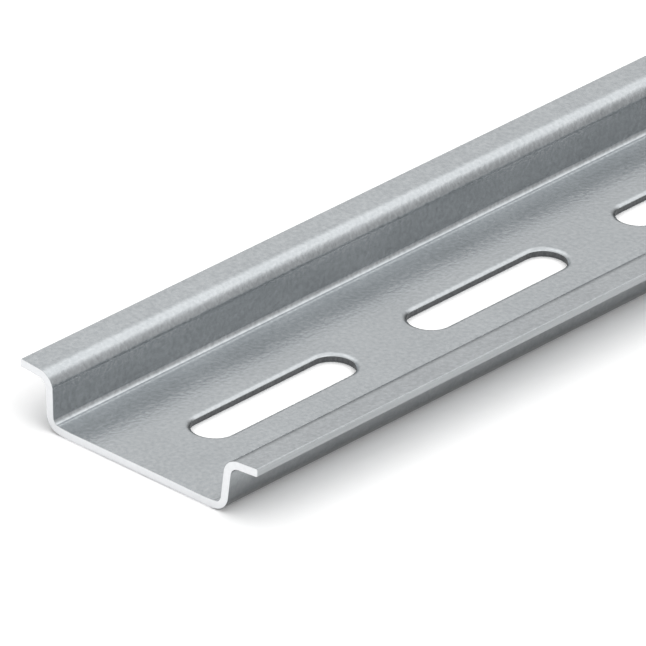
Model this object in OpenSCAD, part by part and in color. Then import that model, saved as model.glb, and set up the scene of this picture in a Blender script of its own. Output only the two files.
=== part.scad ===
// Slotted top hat mounting rail, 35 mm wide, roll formed from one strip of 1 mm steel.
// The rail lies on its underside with its flanges up. Its length runs along X, and the origin is
// the middle of the underside.

/* [Rail] */
// Length of the rail, end to end
rail_length = 1000; // [150:1:2000]
// Width over both flange edges
rail_width = 35; // [33:0.5:50]
// Height from the underside to the highest edge of a flange
rail_height = 7.3; // [6:0.1:15]
// Width over the outer faces of the two webs, half way up
channel_width = 27; // [16:0.5:28]
// Thickness of the strip
strip_thickness = 1; // [0.8:0.1:1.5]

/* [Bends] */
// Inner radius of the bend between base and web
foot_radius = 1.3; // [0.4:0.1:2]
// Inner radius of the bend between web and flange
shoulder_radius = 1.2; // [0.4:0.1:2]
// Angle that each web springs back from upright, so that its top leans outwards
web_lean = 4.3; // [0:0.1:8]
// Angle that each flange springs back from level, so that its edge is its highest point
flange_rise = 4.4; // [0:0.1:8]

/* [Slots] */
// Length of a slot, end to end
slot_length = 25; // [10:0.5:30]
// Width of a slot
slot_width = 5.2; // [4.2:0.1:8]
// Distance from one slot to the next
slot_pitch = 36; // [32:1:72]
// Material from the near end of the rail to the first slot
first_slot_gap = 10; // [4:0.5:30]
// Least material from the last slot to the far end of the rail
last_slot_gap = 4; // [3:0.5:30]

/* [Hidden] */
$fn = 64;

// The outer radius of the foot bend is a strip thickness larger than its inner one.
foot_outer_radius = foot_radius + strip_thickness;

// Each bend turns the strip by a right angle less what it springs back.
foot_turn = 90 - web_lean;
shoulder_turn = foot_turn - flange_rise;

// How far up and out the foot bend carries the strip's underside.
foot_bend_height = foot_outer_radius * (1 - cos(foot_turn));
foot_bend_width = foot_outer_radius * sin(foot_turn);

// The flat half of the base, which puts the webs at their width half way up.
base_flat = channel_width / 2 - foot_bend_width - (rail_height / 2 - foot_bend_height) * tan(web_lean);

// The height and width that the bends leave for the flat stretches of web and flange.
height_left = rail_height - foot_bend_height - shoulder_radius * (cos(flange_rise) - cos(foot_turn))
    - strip_thickness * cos(flange_rise);
width_left = rail_width / 2 - base_flat - foot_bend_width
    - shoulder_radius * (sin(foot_turn) - sin(flange_rise));
web_flat = (height_left * cos(flange_rise) - width_left * sin(flange_rise)) / sin(shoulder_turn);
flange_flat = (width_left * sin(foot_turn) - height_left * cos(foot_turn)) / sin(shoulder_turn);

// As many slots as the length holds, counted from the near end.
slotted_length = rail_length - first_slot_gap - last_slot_gap - slot_length;
slot_count = floor(slotted_length / slot_pitch) + 1;
first_slot_centre = -rail_length / 2 + first_slot_gap + slot_length / 2;

// The punch passes right through the strip and past both of its faces.
punch_clearance = 1;

// A flat stretch of the strip, lying along X from the origin. What follows it joins its far end.
module flat_strip(length) {
    square([length, strip_thickness]);
    translate([length, 0])
        children();
}

// The curved stretch of a bend about the origin. It starts below or above the origin and runs through
// an angle, which is positive for a bend upwards and negative for one downwards.
module bent_strip(inner_radius, angle) {
    outer_radius = inner_radius + strip_thickness;
    reach = 2 * outer_radius;
    difference() {
        circle(r = outer_radius);
        circle(r = inner_radius);
        translate([-reach, -reach])
            square([reach, 2 * reach]);
        rotate(angle)
            translate([0, -reach])
                square([reach, 2 * reach]);
    }
}

// A bend that turns the strip upwards. What follows it joins its far end.
module bend_up(inner_radius, angle) {
    outer_radius = inner_radius + strip_thickness;
    translate([0, outer_radius]) {
        bent_strip(inner_radius, angle);
        rotate(angle)
            translate([0, -outer_radius])
                children();
    }
}

// A bend that turns the strip downwards. What follows it joins its far end.
module bend_down(inner_radius, angle) {
    translate([0, -inner_radius]) {
        bent_strip(inner_radius, -angle);
        rotate(-angle)
            translate([0, inner_radius])
                children();
    }
}

// Half of the section: base, foot bend, web, shoulder bend and flange, from the middle to the edge.
module half_section() {
    flat_strip(base_flat)
        bend_up(foot_radius, foot_turn)
            flat_strip(web_flat)
                bend_down(shoulder_radius, shoulder_turn)
                    flat_strip(flange_flat);
}

// The whole top hat section, flat on X. The rail turns it to stand across its length.
module section() {
    half_section();
    mirror([1, 0])
        half_section();
}

// The outline of one slot, centred on the origin, with round ends.
module slot_outline() {
    end_centre = (slot_length - slot_width) / 2;
    square([2 * end_centre, slot_width], center = true);
    for (side = [-1, 1])
        translate([side * end_centre, 0])
            circle(d = slot_width);
}

// The punch for every slot, standing through the base.
module slot_punches() {
    for (i = [0 : slot_count - 1])
        translate([first_slot_centre + i * slot_pitch, 0, -punch_clearance])
            linear_extrude(strip_thickness + 2 * punch_clearance)
                slot_outline();
}

// The rail: one roll formed strip with its row of slots.
module rail() {
    color("silver")
        difference() {
            translate([-rail_length / 2, 0, 0])
                rotate([90, 0, 90])
                    linear_extrude(rail_length)
                        section();
            slot_punches();
        }
}

rail();
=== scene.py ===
import math

import bpy
from mathutils import Matrix, Vector, noise


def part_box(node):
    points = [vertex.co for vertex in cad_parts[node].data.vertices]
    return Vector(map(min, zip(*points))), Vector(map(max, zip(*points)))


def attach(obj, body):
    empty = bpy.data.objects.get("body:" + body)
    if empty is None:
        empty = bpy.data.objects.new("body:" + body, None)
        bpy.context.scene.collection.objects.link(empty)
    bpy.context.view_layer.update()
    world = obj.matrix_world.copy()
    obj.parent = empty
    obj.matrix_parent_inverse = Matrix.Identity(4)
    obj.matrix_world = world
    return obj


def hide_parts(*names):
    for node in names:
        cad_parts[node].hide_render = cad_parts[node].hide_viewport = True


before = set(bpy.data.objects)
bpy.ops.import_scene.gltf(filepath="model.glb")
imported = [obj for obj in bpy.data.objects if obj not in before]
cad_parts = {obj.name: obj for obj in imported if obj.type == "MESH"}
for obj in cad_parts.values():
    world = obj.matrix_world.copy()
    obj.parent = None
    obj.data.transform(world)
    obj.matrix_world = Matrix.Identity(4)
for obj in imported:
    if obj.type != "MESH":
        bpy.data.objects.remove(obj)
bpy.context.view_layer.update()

# Sizes are in millimetres, and places are in the part's own frame: X along the rail, Z up.
MM = 0.001

# The rail as the frame gives it
rail_low, rail_high = (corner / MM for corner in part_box("rail"))
near_end = rail_low.x
far_end = rail_high.x
rail_width = rail_high.y - rail_low.y
rail_height = rail_high.z - rail_low.z

# The strip and its bends, as in the part's source
strip_thickness = 1.0
channel_width = 27.0
foot_radius = 1.3
shoulder_radius = 1.2
web_lean = math.radians(4.3)
flange_rise = math.radians(4.4)

# The slots, as in the part's source
slot_length = 25.0
slot_width = 5.2
slot_pitch = 36.0
first_slot_gap = 10.0
last_slot_gap = 4.0

# Roll forming leaves the base a little bowed. Each foot bend starts slowly and ends in a sharper root,
# and on its upper face the edge of a roll has pressed a crease with a small ridge beside it.
base_crown = 0.04                   # how far the middle of the base stands above its edges
slot_land = 3.8                     # half the width of the level stretch of base that the slots are in
upper_root_radius = 1.0
upper_root_lift = 0.015             # how far above the base the root's arc would come down
upper_root_from = math.radians(31)  # how far the bend has turned where the root starts
upper_slow_turn = math.radians(5)   # how far the slow stretch turns
ridge_length = 0.28
ridge_turn = math.radians(17)       # how steep the ridge gets
crease_length = 0.24
crease_turn = math.radians(2)       # how steep the floor of the crease is
crease_edge = 0.03                  # length over which the face turns into the crease, and out of it
lower_root_radius = 2.1
lower_root_lift = 0.12
lower_root_from = math.radians(14)

# Each web turns quickly first where it runs into its shoulder.
shoulder_quick_radius = 0.1
shoulder_quick_turn = math.radians(7)

# Slitting, punching and cutting off leave their marks on the edges of the strip.
slit_top_radius = 0.12              # edge on the upper side of a flange
slit_low_radius = 0.25              # rolled over edge on its lower side
cut_edge_radius = 0.045             # eased edge round both cut ends
rollover_width = 0.60               # how far from a slot the punch draws the base down
rollover_turn = math.radians(46)    # how steep the base gets where it meets the punched wall
burnish_depth = 0.22                # height of the punched wall's smooth band, under the rollover
burnish_wander = 0.05               # how far the band's lower border wanders
wander_per_mm = 1.7                 # how often it does so
burnish_lean = 0.05                 # how much the wall faces down where its smooth band ends
torn_lean = 0.1                     # how much it does so where the torn band under that ends
breakout = 0.06                     # how far the torn band runs out from the slot's outline
burr_radius = 0.04
burr_lean = math.radians(45)        # how far the burr has turned at its middle ring of points

# Where the lower face has painted shade, beside the foot bends: darker out towards them and down towards
# the floor
painted_shade_outwards = (10.0, 12.5)        # how far out from the middle that starts, and is complete
painted_shade_downwards = (6.5, 0.8)         # how high up it starts, and is complete
painted_shade_tone = 0.26                    # how much of the colour it leaves

# The floor
floor_reach = 40000.0
floor_gap = 0.02                    # how far under the rail it lies
floor_sight = 4 * floor_gap         # light from closer than this passes through it
floor_paint = 0.86                  # how pale it is for the light that it passes on
floor_shown = 1.12                  # how pale it looks to the camera and in the metal

# Studio light. Each soft box is (direction to it, sharpness, strength), and they add up.
soft_boxes = [
    ((0.0, 0.0, 1.0), 2.0, 1.21),        # wide, overhead
    ((0.0, 0.60, 0.80), 8.0, 0.72),      # high on the +Y side
    ((0.67, 0.10, 0.74), 40.0, 0.79),    # two small ones, high over the far end
    ((0.67, -0.27, 0.69), 40.0, 0.85),
    ((0.67, 0.64, 0.38), 8.0, 0.60),     # lower over the far end, on the +Y side
    ((0.67, -0.74, 0.05), 60.0, 0.22),   # a faint one at the horizon there, on the -Y side
    ((0.0, -0.90, 0.45), 4.0, 1.48),     # wide, low on the -Y side
    ((-0.94, 0.0, 0.34), 8.0, 0.8),      # low beyond the near end, for views from the far end
    ((0.0, 0.0, -1.0), 1.0, 0.9),        # below, for the underside
]

# The camera, as the photograph's perspective gives it: which way it looks, how far off, and at what
camera_azimuth = math.radians(40.382)
camera_elevation = math.radians(28.196)
camera_roll = math.radians(2.715)
camera_distance = 1310.3
camera_target = Vector((-463.805, 5.041, 3.0))
image_size = 646                    # pixels from side to side
focal_pixels = 11780.6              # focal length in such pixels
sensor_size = 36.0
nearest_seen = 50.0
farthest_seen = 100000.0

# How finely the round places are cut into faces
crown_steps = 8
bend_steps = 20                     # a whole foot bend, and a shoulder after its quick start
start_steps = 4                     # the slow or quick start of a bend
ridge_steps = 4
corner_steps = 5
cut_edge_steps = 3
rollover_steps = 9
slot_end_steps = 22
slot_side_steps = 24

# Places that agree to this many digits of a millimetre are one point of the mesh.
place_digits = 5

# What one noise, and a sum of several, mostly keep between
usual_noise = (0.3, 0.7)
usual_sum = (0.38, 0.62)
satin_sum = (0.36, 0.64)

# A Mix node's sockets for two colours and their mix
MIX_FIRST = 6
MIX_SECOND = 7
MIX_RESULT = 2

# Material slots on the rail's mesh
ZINC, LOWER_ZINC, CUT, PUNCHED, SLIT = range(5)


class Skin:
    """Points, and faces whose corners have their true normals and that wear a material."""

    def __init__(self):
        self.places = []
        self.index_of = {}
        self.corners = []
        self.faces = []
        self.worn = []

    def point(self, place, normal):
        """A corner for faces: a place, shared with every other corner there, and a normal of its own."""
        place = Vector(place)
        key = tuple(round(c, place_digits) for c in place)
        index = self.index_of.setdefault(key, len(self.places))
        if index == len(self.places):
            self.places.append(place)
        self.corners.append((index, Vector(normal).normalized()))
        return len(self.corners) - 1

    def face(self, corners, material=ZINC):
        """Adds a face, turned so that it looks the way its corners' normals do."""
        places = [self.places[self.corners[c][0]] for c in corners]
        looks = Vector((0, 0, 0))
        for here, there in zip(places, places[1:] + places[:1]):
            looks += here.cross(there)
        outward = sum((self.corners[c][1] for c in corners), Vector((0, 0, 0)))
        self.faces.append(corners if looks.dot(outward) > 0 else corners[::-1])
        self.worn.append(material)

    def band(self, ring, following, materials):
        """A closed band of quads between two rings, in one material or in one for each quad."""
        for i in range(len(ring)):
            j = (i + 1) % len(ring)
            material = materials if isinstance(materials, int) else materials[i]
            self.face([ring[i], ring[j], following[j], following[i]], material)

    def build(self, name, materials):
        """The piece that the faces make, in these materials."""
        mesh = bpy.data.meshes.new(name)
        faces = [[self.corners[c][0] for c in face] for face in self.faces]
        mesh.from_pydata([p * MM for p in self.places], [], faces)
        for material in materials:
            mesh.materials.append(material)
        mesh.polygons.foreach_set("material_index", self.worn)
        mesh.polygons.foreach_set("use_smooth", [True] * len(faces))
        mesh.normals_split_custom_set([self.corners[c][1][:] for face in self.faces for c in face])
        piece = bpy.data.objects.new(name, mesh)
        bpy.context.scene.collection.objects.link(piece)
        return piece


def sweep(point, length, end, steps):
    """Points along an arc from a (y, z, heading) point, as such points. Its heading turns evenly to end."""
    y, z, start = point
    made = []
    for i in range(1, steps + 1):
        half_turn = (end - start) * i / steps / 2
        chord = length * i / steps * (math.sin(half_turn) / half_turn if half_turn else 1)
        heading = start + half_turn
        made.append((y + chord * math.cos(heading), z + chord * math.sin(heading), start + 2 * half_turn))
    return made


def straight_stretches():
    """Where the strip's lower face runs straight, as in the part's source, by four (y, z, heading) points.

    They are the bottom and the top of the web, and the inner and the outer end of the flange.
    """
    foot_turn = math.pi / 2 - web_lean
    shoulder_turn = foot_turn - flange_rise
    foot_outer = foot_radius + strip_thickness
    foot_rise = foot_outer * (1 - math.cos(foot_turn))
    foot_reach = foot_outer * math.sin(foot_turn)
    base_flat = channel_width / 2 - foot_reach - (rail_height / 2 - foot_rise) * math.tan(web_lean)
    height_left = (
        rail_height - foot_rise - shoulder_radius * (math.cos(flange_rise) - math.cos(foot_turn))
        - strip_thickness * math.cos(flange_rise)
    )
    width_left = (
        rail_width / 2 - base_flat - foot_reach
        - shoulder_radius * (math.sin(foot_turn) - math.sin(flange_rise))
    )
    web_flat = (
        height_left * math.cos(flange_rise) - width_left * math.sin(flange_rise)
    ) / math.sin(shoulder_turn)
    flange_flat = (
        width_left * math.sin(foot_turn) - height_left * math.cos(foot_turn)
    ) / math.sin(shoulder_turn)

    web = (base_flat + foot_reach, foot_rise, foot_turn)
    web_top = sweep(web, web_flat, foot_turn, 1)[-1]
    flange = sweep(web_top, shoulder_radius * shoulder_turn, flange_rise, 1)[-1]
    edge = sweep(flange, flange_flat, flange_rise, 1)[-1]
    return web, web_top, flange, edge


def across_strip(point):
    """The point on the strip's upper face across from one on its lower face."""
    y, z, heading = point
    return y - strip_thickness * math.sin(heading), z + strip_thickness * math.cos(heading), heading


def bowed_base(edge_y, edge_z):
    """A face of the base, as (y, z, heading) points: level from the middle out, then down to its edge."""
    line = [(0, edge_z + base_crown, 0), (slot_land, edge_z + base_crown, 0)]
    for i in range(1, crown_steps + 1):
        turn = math.pi * i / crown_steps
        y = slot_land + (edge_y - slot_land) * i / crown_steps
        slope = -base_crown * math.pi / 2 * math.sin(turn) / (edge_y - slot_land)
        line.append((y, edge_z + base_crown * (1 + math.cos(turn)) / 2, math.atan(slope)))
    return line


def base_and_bend(base_z, web, root, slow_turn, stretches=()):
    """One face of the base and of the foot bend, as (y, z, heading) points, up to the web.

    The web is such a point on its face, and the root is (radius, lift, heading at its start). The bend
    starts with a slow stretch that turns by slow_turn. The stretches between that and the root are
    (length, heading at its start, heading at its end, steps).
    """
    web_y, web_z, foot_turn = web
    radius, lift, root_from = root
    root_steps = bend_steps - start_steps - sum(steps for _, _, _, steps in stretches)

    centre_z = base_z + lift + radius
    up_web = (centre_z - radius * math.cos(foot_turn) - web_z) / math.sin(foot_turn)
    centre_y = web_y + up_web * math.cos(foot_turn) - radius * math.sin(foot_turn)
    y = centre_y + radius * math.sin(root_from)
    z = centre_z - radius * math.cos(root_from)
    bend = sweep((y, z, root_from), radius * (foot_turn - root_from), foot_turn, root_steps)
    for length, start, end, steps in reversed(stretches):
        run_y, run_z, _ = sweep((0, 0, start), length, end, steps)[-1]
        y -= run_y
        z -= run_z
        bend = sweep((y, z, start), length, end, steps) + bend
    slow_radius = (z - base_z) / (1 - math.cos(slow_turn))
    edge_y = y - slow_radius * math.sin(slow_turn)
    bend = sweep((edge_y, base_z, 0), slow_radius * slow_turn, slow_turn, start_steps) + bend
    return bowed_base(edge_y, base_z) + bend


def shoulder(web, flange, radius):
    """The bend from a web to its flange, as (y, z, heading) points, given such a point on each."""
    y, z, foot_turn = web
    flange_y, flange_z, _ = flange
    quick_to = foot_turn - shoulder_quick_turn

    def bend(start):
        quick = sweep(start, shoulder_quick_radius * shoulder_quick_turn, quick_to, start_steps)
        main = sweep(quick[-1], radius * (quick_to - flange_rise), flange_rise, bend_steps)
        return [start] + quick + main

    # It starts as far down the web as brings its end onto the flange.
    end_y, end_z, _ = bend(web)[-1]
    above = (end_z - flange_z) * math.cos(flange_rise) - (end_y - flange_y) * math.sin(flange_rise)
    down = above / math.sin(foot_turn - flange_rise)
    return bend((y - down * math.cos(foot_turn), z - down * math.sin(foot_turn), foot_turn))


def half_strip():
    """The strip's lower and upper face from the middle of the base to the edge of a flange.

    They are (y, z, heading) points, as many on each face. The heading is the strip's angle above level.
    """
    web, web_top, flange, edge = straight_stretches()
    lower_root = (lower_root_radius, lower_root_lift, lower_root_from)
    under = base_and_bend(0, web, lower_root, lower_root_from)
    under += shoulder(web_top, flange, shoulder_radius) + [edge]

    web, web_top, flange, edge = (across_strip(point) for point in (web, web_top, flange, edge))
    upper_root = (upper_root_radius, upper_root_lift, upper_root_from)
    over = base_and_bend(strip_thickness, web, upper_root, upper_slow_turn, [
        (ridge_length, upper_slow_turn, ridge_turn, ridge_steps),
        (crease_edge, ridge_turn, crease_turn, 1),
        (crease_length, crease_turn, crease_turn, 1),
        (crease_edge, crease_turn, upper_root_from, 1),
    ])
    over += shoulder(web_top, flange, shoulder_radius + strip_thickness) + [edge]
    return under, over


def section_loop():
    """The rail's section as one closed loop of (y, z, normal y, normal z) points.

    It starts in the middle of the underside and runs past the flange edge on the +Y side. With it come
    the material from each point to the next, the number of points on each face of the strip from its
    middle to a slit edge, and the number round that edge.
    """
    under_line, over_line = half_strip()
    under = [(y, z, math.sin(h), -math.cos(h)) for y, z, h in under_line[:-1]]
    over = [(y, z, -math.sin(h), math.cos(h)) for y, z, h in over_line[:-1]]
    low_corner = Vector(under_line[-1][:2])
    high_corner = Vector(over_line[-1][:2])
    along = Vector((math.cos(flange_rise), math.sin(flange_rise)))
    up = Vector((-along.y, along.x))
    tip = []
    for corner, radius, first, second in (
        (low_corner, slit_low_radius, -up, along), (high_corner, slit_top_radius, along, up),
    ):
        centre = corner - (first + second) * radius
        for i in range(corner_steps + 1):
            turn = math.pi / 2 * i / corner_steps
            normal = first * math.cos(turn) + second * math.sin(turn)
            place = centre + normal * radius
            tip.append((place.x, place.y, normal.x, normal.y))

    right = under + tip + over[::-1]
    left = [(-y, z, -ny, nz) for y, z, ny, nz in right[-2:0:-1]]
    loop = right + left
    # The slit edge runs from the lower corner's first point to the upper corner's first one.
    half_worn = [LOWER_ZINC] * len(under) + [SLIT] * (corner_steps + 1)
    half_worn += [ZINC] * (len(loop) // 2 - len(half_worn))
    worn = half_worn + half_worn[::-1]
    return loop, worn, len(under), len(tip)


def slot_centres():
    """The middle of every slot along X. There are as many as in the part's source."""
    slotted_length = far_end - near_end - first_slot_gap - last_slot_gap - slot_length
    count = int(slotted_length // slot_pitch) + 1
    first_centre = near_end + first_slot_gap + slot_length / 2
    return [first_centre + i * slot_pitch for i in range(count)]


def section_ring(skin, loop, x, inset=0.0, lean=0.0, facing=1):
    """A ring of points round the section at x, drawn in by inset. Its normals lean to the facing end."""
    made = []
    for y, z, ny, nz in loop:
        normal = (facing * math.sin(lean), ny * math.cos(lean), nz * math.cos(lean))
        made.append(skin.point((x, y - ny * inset, z - nz * inset), normal))
    return made


def cut_rings(skin, loop, x, facing):
    """Rings from the cut face at x to the full section, round the eased edge."""
    made = []
    for i in range(cut_edge_steps + 1):
        lean = math.pi / 2 * (1 - i / cut_edge_steps)
        inset = cut_edge_radius * (1 - math.cos(lean))
        back = cut_edge_radius * (1 - math.sin(lean))
        made.append(section_ring(skin, loop, x - facing * back, inset, lean, facing))
    return made


def add_cut_face(skin, ring, rungs, tip_count):
    """The cut end of the strip, as a ladder of faces from its underside to its upper side."""
    half_count = 2 * rungs + tip_count
    for side in (1, -1):
        around = [ring[side * i % len(ring)] for i in range(half_count)]
        under = around[:rungs]
        tip = around[rungs:-rungs]
        over = around[:-rungs - 1:-1]
        for i in range(rungs - 1):
            skin.face([under[i], under[i + 1], over[i + 1], over[i]], CUT)
        skin.face([under[-1], *tip, over[-1]], CUT)


def rim_profile():
    """The rim of a slot, where the punch drew the base down, as (outwards, z, normal outwards, normal z).

    Outwards is the distance from the slot's outline into the steel.
    """
    radius = rollover_width / math.sin(rollover_turn)
    rim = []
    for i in range(rollover_steps + 1):
        turn = rollover_turn * i / rollover_steps
        outwards = rollover_width - radius * math.sin(turn)
        z = strip_thickness - radius * (1 - math.cos(turn))
        rim.append((outwards, z, -math.sin(turn), math.cos(turn)))
    return rim


def wall_profile():
    """The wall of a slot, from its rim down to the underside, as rim_profile gives it."""
    top = rim_profile()[-1][1]
    burr_out = breakout + burr_radius * (1 - math.cos(burr_lean))
    burr_up = burr_radius * (1 - math.sin(burr_lean))
    return [
        (0.0, top, -1, 0),                              # where the rollover ends
        (0.0, top - burnish_depth, -1, -burnish_lean),  # where the smooth band ends
        (breakout, burr_radius, -1, -torn_lean),        # where the torn band ends
        (burr_out, burr_up, -1, -1),                    # on the burr
        (breakout + burr_radius, 0.0, 0, -1),           # where the underside starts
    ]


def slot_ring(skin, centre_x, step, wander=0.0):
    """One ring of points round a slot at a step of its profile, starting at its tip towards +X.

    Its height varies by up to about wander.
    """
    outwards, z, normal_out, normal_z = step
    straight = (slot_length - slot_width) / 2
    radius = slot_width / 2 + outwards
    quarter = slot_end_steps // 2
    turns = [math.pi / 2 * i / quarter for i in range(quarter)]
    made = []
    for side in (1, -1):
        # A quarter round from one tip, along a straight side, and a quarter round to the other tip
        around = [(side * straight, math.pi / 2 * (1 - side) + turn) for turn in turns]
        for i in range(slot_side_steps + 1):
            around.append((side * straight * (1 - 2 * i / slot_side_steps), math.pi / 2 * (2 - side)))
        around += [(-side * straight, math.pi / 2 * (2 - side) + turn) for turn in turns[1:]]
        for x, turn in around:
            out_x = math.cos(turn)
            out_y = math.sin(turn)
            place = Vector((centre_x + x + radius * out_x, radius * out_y, base_crown + z))
            place.z += wander * noise.noise(place * wander_per_mm)
            made.append(skin.point(place, (normal_out * out_x, normal_out * out_y, normal_z)))
    return made


def add_slot(skin, centre_x, near_ring, far_ring):
    """A slot with its rolled over rim, and the land of the base round it, above and below."""
    rim = [slot_ring(skin, centre_x, step) for step in rim_profile()]
    wall = []
    for i, step in enumerate(wall_profile()):
        # The ring after the first is the lower border of the smooth band.
        wall.append(slot_ring(skin, centre_x, step, burnish_wander if i == 1 else 0.0))
    for rings, material in ((rim, ZINC), (wall, PUNCHED)):
        for here, below in zip(rings, rings[1:]):
            skin.band(here, below, material)

    # The land reaches from the middle of the base to the next point of the section on either side.
    size = len(near_ring)
    over_middle = size // 2
    over_sides = (over_middle - 1, over_middle + 1)
    for ring, middle, sides in ((rim[0], over_middle, over_sides), (wall[-1], 0, (1, size - 1))):
        half = len(ring) // 2
        arcs = (ring[:half + 1], ring[:1] + ring[:half - 1:-1])
        for side, arc in zip(sides, arcs):
            skin.face(arc + [near_ring[middle], near_ring[side], far_ring[side], far_ring[middle]])


def make_rail(materials):
    """The whole rail, in materials that are given in the order of ZINC to SLIT."""
    skin = Skin()
    loop, worn, rungs, tip_count = section_loop()
    centres = slot_centres()
    borders = [centres[0] + (i - 0.5) * slot_pitch for i in range(len(centres) + 1)]
    near = cut_rings(skin, loop, near_end, -1)
    far = cut_rings(skin, loop, far_end, 1)
    middle = [section_ring(skin, loop, x) for x in borders]

    # The cut left its own bright edge along the underside, and rolled the plate over along the rest.
    cut_worn = [CUT if material == LOWER_ZINC else ZINC for material in worn]
    for rings in (near, far):
        add_cut_face(skin, rings[0], rungs, tip_count)
        for here, following in zip(rings, rings[1:]):
            skin.band(here, following, cut_worn)
    skin.band(near[-1], middle[0], worn)
    skin.band(middle[-1], far[-1], worn)

    size = len(loop)
    in_land = {0, size - 1, size // 2 - 1, size // 2}
    for centre_x, here, following in zip(centres, middle, middle[1:]):
        for i in range(size):
            j = (i + 1) % size
            if i not in in_land:
                skin.face([here[i], here[j], following[j], following[i]], worn[i])
        add_slot(skin, centre_x, here, following)
    return skin.build("top_hat_rail", materials)


class Nodes:
    """Short calls to lay out the nodes of a material or of the world."""

    def __init__(self, owner, output_kind="ShaderNodeOutputMaterial"):
        owner.use_nodes = True
        self.owner = owner
        self.tree = owner.node_tree
        self.tree.nodes.clear()
        self.output = self.add(output_kind)

    def add(self, kind, inputs=None, **settings):
        """A node with its settings. Each input gets the socket or the value that is given for it."""
        node = self.tree.nodes.new(kind)
        for key, value in settings.items():
            setattr(node, key, value)
        for key, value in (inputs or {}).items():
            if isinstance(value, bpy.types.NodeSocket):
                self.tree.links.new(value, node.inputs[key])
            else:
                node.inputs[key].default_value = value
        return node

    def show(self, shader):
        """Ends the nodes in a shader, and returns the material or world that they belong to."""
        self.tree.links.new(shader.outputs[0], self.output.inputs[0])
        return self.owner

    def calculate(self, operation, *values):
        return self.add("ShaderNodeMath", dict(enumerate(values)), operation=operation).outputs[0]

    def place(self, scale=(1, 1, 1)):
        """The place on the piece in millimetres, stretched by scale along each axis."""
        both = {0: self.add("ShaderNodeTexCoord").outputs["Object"], 1: [s / MM for s in scale]}
        return self.add("ShaderNodeVectorMath", both, operation="MULTIPLY").outputs[0]

    def noise(self, per_mm, detail=2.0, roughness=0.5, stretch=(1, 1, 1)):
        spot = self.place([per_mm * s for s in stretch])
        inputs = {"Vector": spot, "Scale": 1.0, "Detail": detail, "Roughness": roughness}
        return self.add("ShaderNodeTexNoise", inputs).outputs["Fac"]

    def ranged(self, value, low, high, span=usual_noise):
        """A value, moved and kept between low, for where the span starts, and high, for where it ends."""
        start, end = span
        inputs = {"Value": value, "From Min": start, "From Max": end, "To Min": low, "To Max": high}
        return self.add("ShaderNodeMapRange", inputs).outputs[0]

    def sum_of(self, parts):
        """The sum of (value, weight) pairs."""
        total = 0.0
        for value, weight in parts:
            total = self.calculate("MULTIPLY_ADD", value, weight, total)
        return total

    def mix(self, share, first, second, blend_type="MIX"):
        inputs = {0: share, MIX_FIRST: first, MIX_SECOND: second}
        node = self.add("ShaderNodeMix", inputs, data_type="RGBA", blend_type=blend_type)
        return node.outputs[MIX_RESULT]

    def colour(self, share, first, second):
        """The colour that is a share of the way from the first to the second."""
        return self.mix(share, (*first, 1), (*second, 1))

    def tint(self, parts, dark, light):
        """A colour between dark and light that goes by a sum of noises, as (value, weight) pairs."""
        return self.colour(self.ranged(self.sum_of(parts), 0, 1, usual_sum), dark, light)

    def bump(self, height, depth):
        return self.add("ShaderNodeBump", {"Height": height, "Distance": depth * MM}).outputs[0]

    def metal(self, colour, roughness, normal):
        inputs = {"Base Color": colour, "Roughness": roughness, "Normal": normal, "Metallic": 1.0}
        return self.show(self.add("ShaderNodeBsdfPrincipled", inputs))


def grey(tone):
    return tone, tone, tone


def zinc_plate(name, with_painted_shade=False):
    """Bright zinc plate over cold rolled strip: satin, faintly clouded, with fine lines along the rail.

    On the lower face it can carry painted shade at the foot bends and webs, darker towards the foot.
    """
    n = Nodes(bpy.data.materials.new(name))
    clouds = n.noise(per_mm=0.12, detail=3.0)
    mottle = n.noise(per_mm=1.9)
    grain = n.noise(per_mm=7.0, roughness=0.6)
    drawn = n.noise(per_mm=1.0, detail=3.0, roughness=0.6, stretch=(0.03, 3.5, 3.5))
    parts = [(clouds, 0.2), (mottle, 0.5), (grain, 0.2), (drawn, 0.1)]
    colour = n.tint(parts, dark=(0.430, 0.453, 0.468), light=(0.534, 0.557, 0.572))
    # Painted shade: the lower face darkens outwards past the middle of the base and down the webs towards
    # the foot.
    if with_painted_shade:
        place = n.add("ShaderNodeSeparateXYZ", {0: n.place()}).outputs
        outwards = n.ranged(n.calculate("ABSOLUTE", place["Y"]), 0, 1, painted_shade_outwards)
        downwards = n.ranged(place["Z"], 0, 1, painted_shade_downwards)
        painted_shade_share = n.calculate("MULTIPLY", outwards, downwards)
        tone = n.colour(painted_shade_share, grey(1), grey(painted_shade_tone))
        colour = n.mix(1.0, colour, tone, "MULTIPLY")
    satin = n.sum_of([(clouds, 0.3), (mottle, 0.4), (drawn, 0.3)])
    roughness = n.ranged(satin, low=0.18, high=0.26, span=satin_sum)
    height = n.sum_of([(mottle, 0.85), (grain, 0.1), (drawn, 0.05)])
    return n.metal(colour, roughness, n.bump(height, depth=0.027))


def cut_steel():
    """Bare steel where the rail was cut off: pale, with a fine even grain."""
    n = Nodes(bpy.data.materials.new("cut_steel"))
    mottle = n.noise(per_mm=2.0)
    grain = n.noise(per_mm=9.0, roughness=0.6)
    parts = [(mottle, 0.5), (grain, 0.5)]
    colour = n.tint(parts, dark=(0.715, 0.725, 0.739), light=(0.757, 0.767, 0.781))
    roughness = n.ranged(grain, low=0.30, high=0.42)
    return n.metal(colour, roughness, n.bump(grain, depth=0.003))


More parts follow.
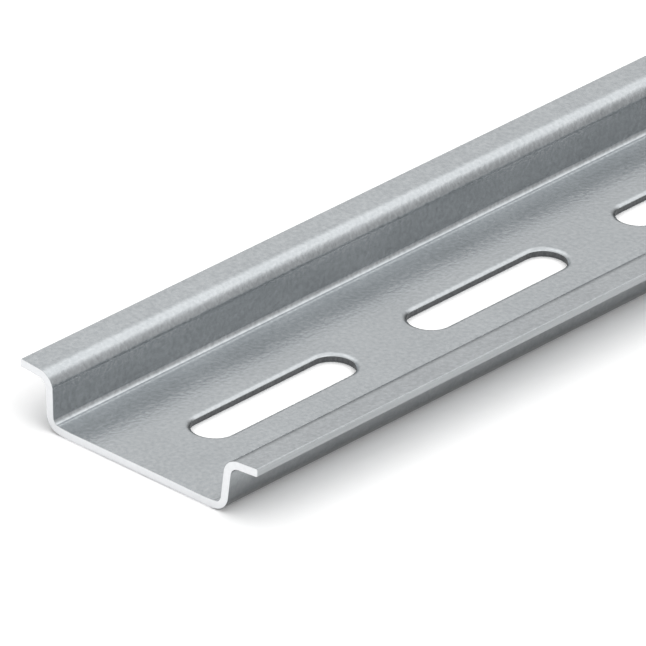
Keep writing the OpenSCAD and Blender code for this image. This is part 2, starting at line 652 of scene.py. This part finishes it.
def punched_steel_and_painted_shade():
    """The wall of a punched slot, with upright streaks, dark partly as torn steel and partly with painted
    shade for the inside of the slot.
    """
    n = Nodes(bpy.data.materials.new("punched_steel_and_painted_shade"))
    streaks = n.noise(per_mm=6.0, roughness=0.6, stretch=(1, 1, 0.15))
    grain = n.noise(per_mm=11.0, detail=3.0, roughness=0.6)
    parts = [(streaks, 0.5), (grain, 0.5)]
    # Painted shade in part: the wall is darker than torn steel would be, as the inside of a slot is in
    # shade.
    colour = n.tint(parts, dark=(0.08, 0.084, 0.088), light=(0.155, 0.16, 0.165))
    roughness = n.ranged(grain, low=0.45, high=0.6)
    return n.metal(colour, roughness, n.bump(n.sum_of(parts), depth=0.02))


def slit_steel():
    """The slit edge of the strip: duller than its faces, with fine lines along the rail."""
    n = Nodes(bpy.data.materials.new("slit_steel"))
    drawn = n.noise(per_mm=1.0, detail=3.0, roughness=0.6, stretch=(0.05, 6.0, 6.0))
    grain = n.noise(per_mm=8.0, roughness=0.6)
    parts = [(drawn, 0.6), (grain, 0.4)]
    colour = n.tint(parts, dark=(0.33, 0.345, 0.355), light=(0.41, 0.425, 0.435))
    roughness = n.ranged(grain, low=0.38, high=0.5)
    return n.metal(colour, roughness, n.bump(n.sum_of(parts), depth=0.008))


def floor_white():
    """Pale paint that shows white to the camera and in the metal, and that isn't there from below."""
    n = Nodes(bpy.data.materials.new("floor_white"))
    rays = n.add("ShaderNodeLightPath").outputs
    seen = n.calculate("MAXIMUM", rays["Is Camera Ray"], rays["Is Glossy Ray"])
    seen = n.calculate("MAXIMUM", seen, rays["Is Transmission Ray"])
    colour = n.colour(seen, grey(floor_paint), grey(floor_shown))
    paint = n.add("ShaderNodeBsdfDiffuse", {"Color": colour}).outputs[0]
    # Light passes it under the rail too, because the rail's underside lies on it and would be black.
    behind = n.add("ShaderNodeNewGeometry").outputs["Backfacing"]
    close_by = n.calculate("LESS_THAN", rays["Ray Length"], floor_sight * MM)
    left_out = n.calculate("MAXIMUM", behind, close_by)
    clear = n.add("ShaderNodeBsdfTransparent").outputs[0]
    return n.show(n.add("ShaderNodeMixShader", {0: left_out, 1: paint, 2: clear}))


def make_floor():
    """A wide floor that keeps the rail's shadow."""
    reach = floor_reach * MM
    corners = [(-reach, -reach, 0), (reach, -reach, 0), (reach, reach, 0), (-reach, reach, 0)]
    mesh = bpy.data.meshes.new("floor")
    mesh.from_pydata(corners, [], [(0, 1, 2, 3)])
    mesh.materials.append(floor_white())
    floor = bpy.data.objects.new("floor", mesh)
    floor.location.z = -floor_gap * MM
    bpy.context.scene.collection.objects.link(floor)


def make_light():
    """The soft boxes, all far off. Seen directly or through a clear piece, there is plain white instead.

    The metal keeps the soft boxes, because they are all the light that it has.
    """
    world = bpy.data.worlds.new("studio")
    bpy.context.scene.world = world
    n = Nodes(world, "ShaderNodeOutputWorld")
    toward = n.add("ShaderNodeTexCoord").outputs["Generated"]
    total = 0.0
    for direction, sharpness, strength in soft_boxes:
        both = {0: toward, 1: Vector(direction).normalized()}
        facing = n.add("ShaderNodeVectorMath", both, operation="DOT_PRODUCT").outputs["Value"]
        lobe = n.calculate("POWER", n.calculate("MAXIMUM", facing, 0.0), sharpness)
        total = n.calculate("MULTIPLY_ADD", lobe, strength, total)
    white = (*grey(1), 1)
    studio = n.add("ShaderNodeBackground", {"Color": white, "Strength": total}).outputs[0]
    backdrop = n.add("ShaderNodeBackground", {"Color": white, "Strength": 1.0}).outputs[0]
    rays = n.add("ShaderNodeLightPath").outputs
    direct = n.calculate("MAXIMUM", rays["Is Camera Ray"], rays["Is Transmission Ray"])
    n.show(n.add("ShaderNodeMixShader", {0: direct, 1: studio, 2: backdrop}))


def make_camera():
    """A camera that sees the rail as the photograph shows it."""
    forward = Vector((
        math.cos(camera_elevation) * math.cos(camera_azimuth),
        math.cos(camera_elevation) * math.sin(camera_azimuth),
        -math.sin(camera_elevation),
    ))
    right = forward.cross(Vector((0, 0, 1))).normalized()
    up = right.cross(forward)
    c = math.cos(camera_roll)
    s = math.sin(camera_roll)
    right, up = c * right + s * up, c * up - s * right
    data = bpy.data.cameras.new("camera")
    data.sensor_width = sensor_size
    data.lens = focal_pixels * sensor_size / image_size
    data.clip_start = nearest_seen * MM
    data.clip_end = farthest_seen * MM
    camera = bpy.data.objects.new("camera", data)
    place = (camera_target - forward * camera_distance) * MM
    turn = Matrix((right, up, -forward)).transposed().to_4x4()
    camera.matrix_world = Matrix.Translation(place) @ turn
    bpy.context.scene.collection.objects.link(camera)
    bpy.context.scene.camera = camera


bpy.context.scene.view_settings.view_transform = "Standard"
make_camera()
make_light()
make_floor()
upper_plate = zinc_plate("zinc_plate")
# The lower face's material carries painted shade beside the foot bends.
lower_plate_painted_shade = zinc_plate("lower_zinc_plate_painted_shade", with_painted_shade=True)
rail = make_rail([upper_plate, lower_plate_painted_shade, cut_steel(), punched_steel_and_painted_shade(), slit_steel()])
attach(rail, "root")
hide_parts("rail")
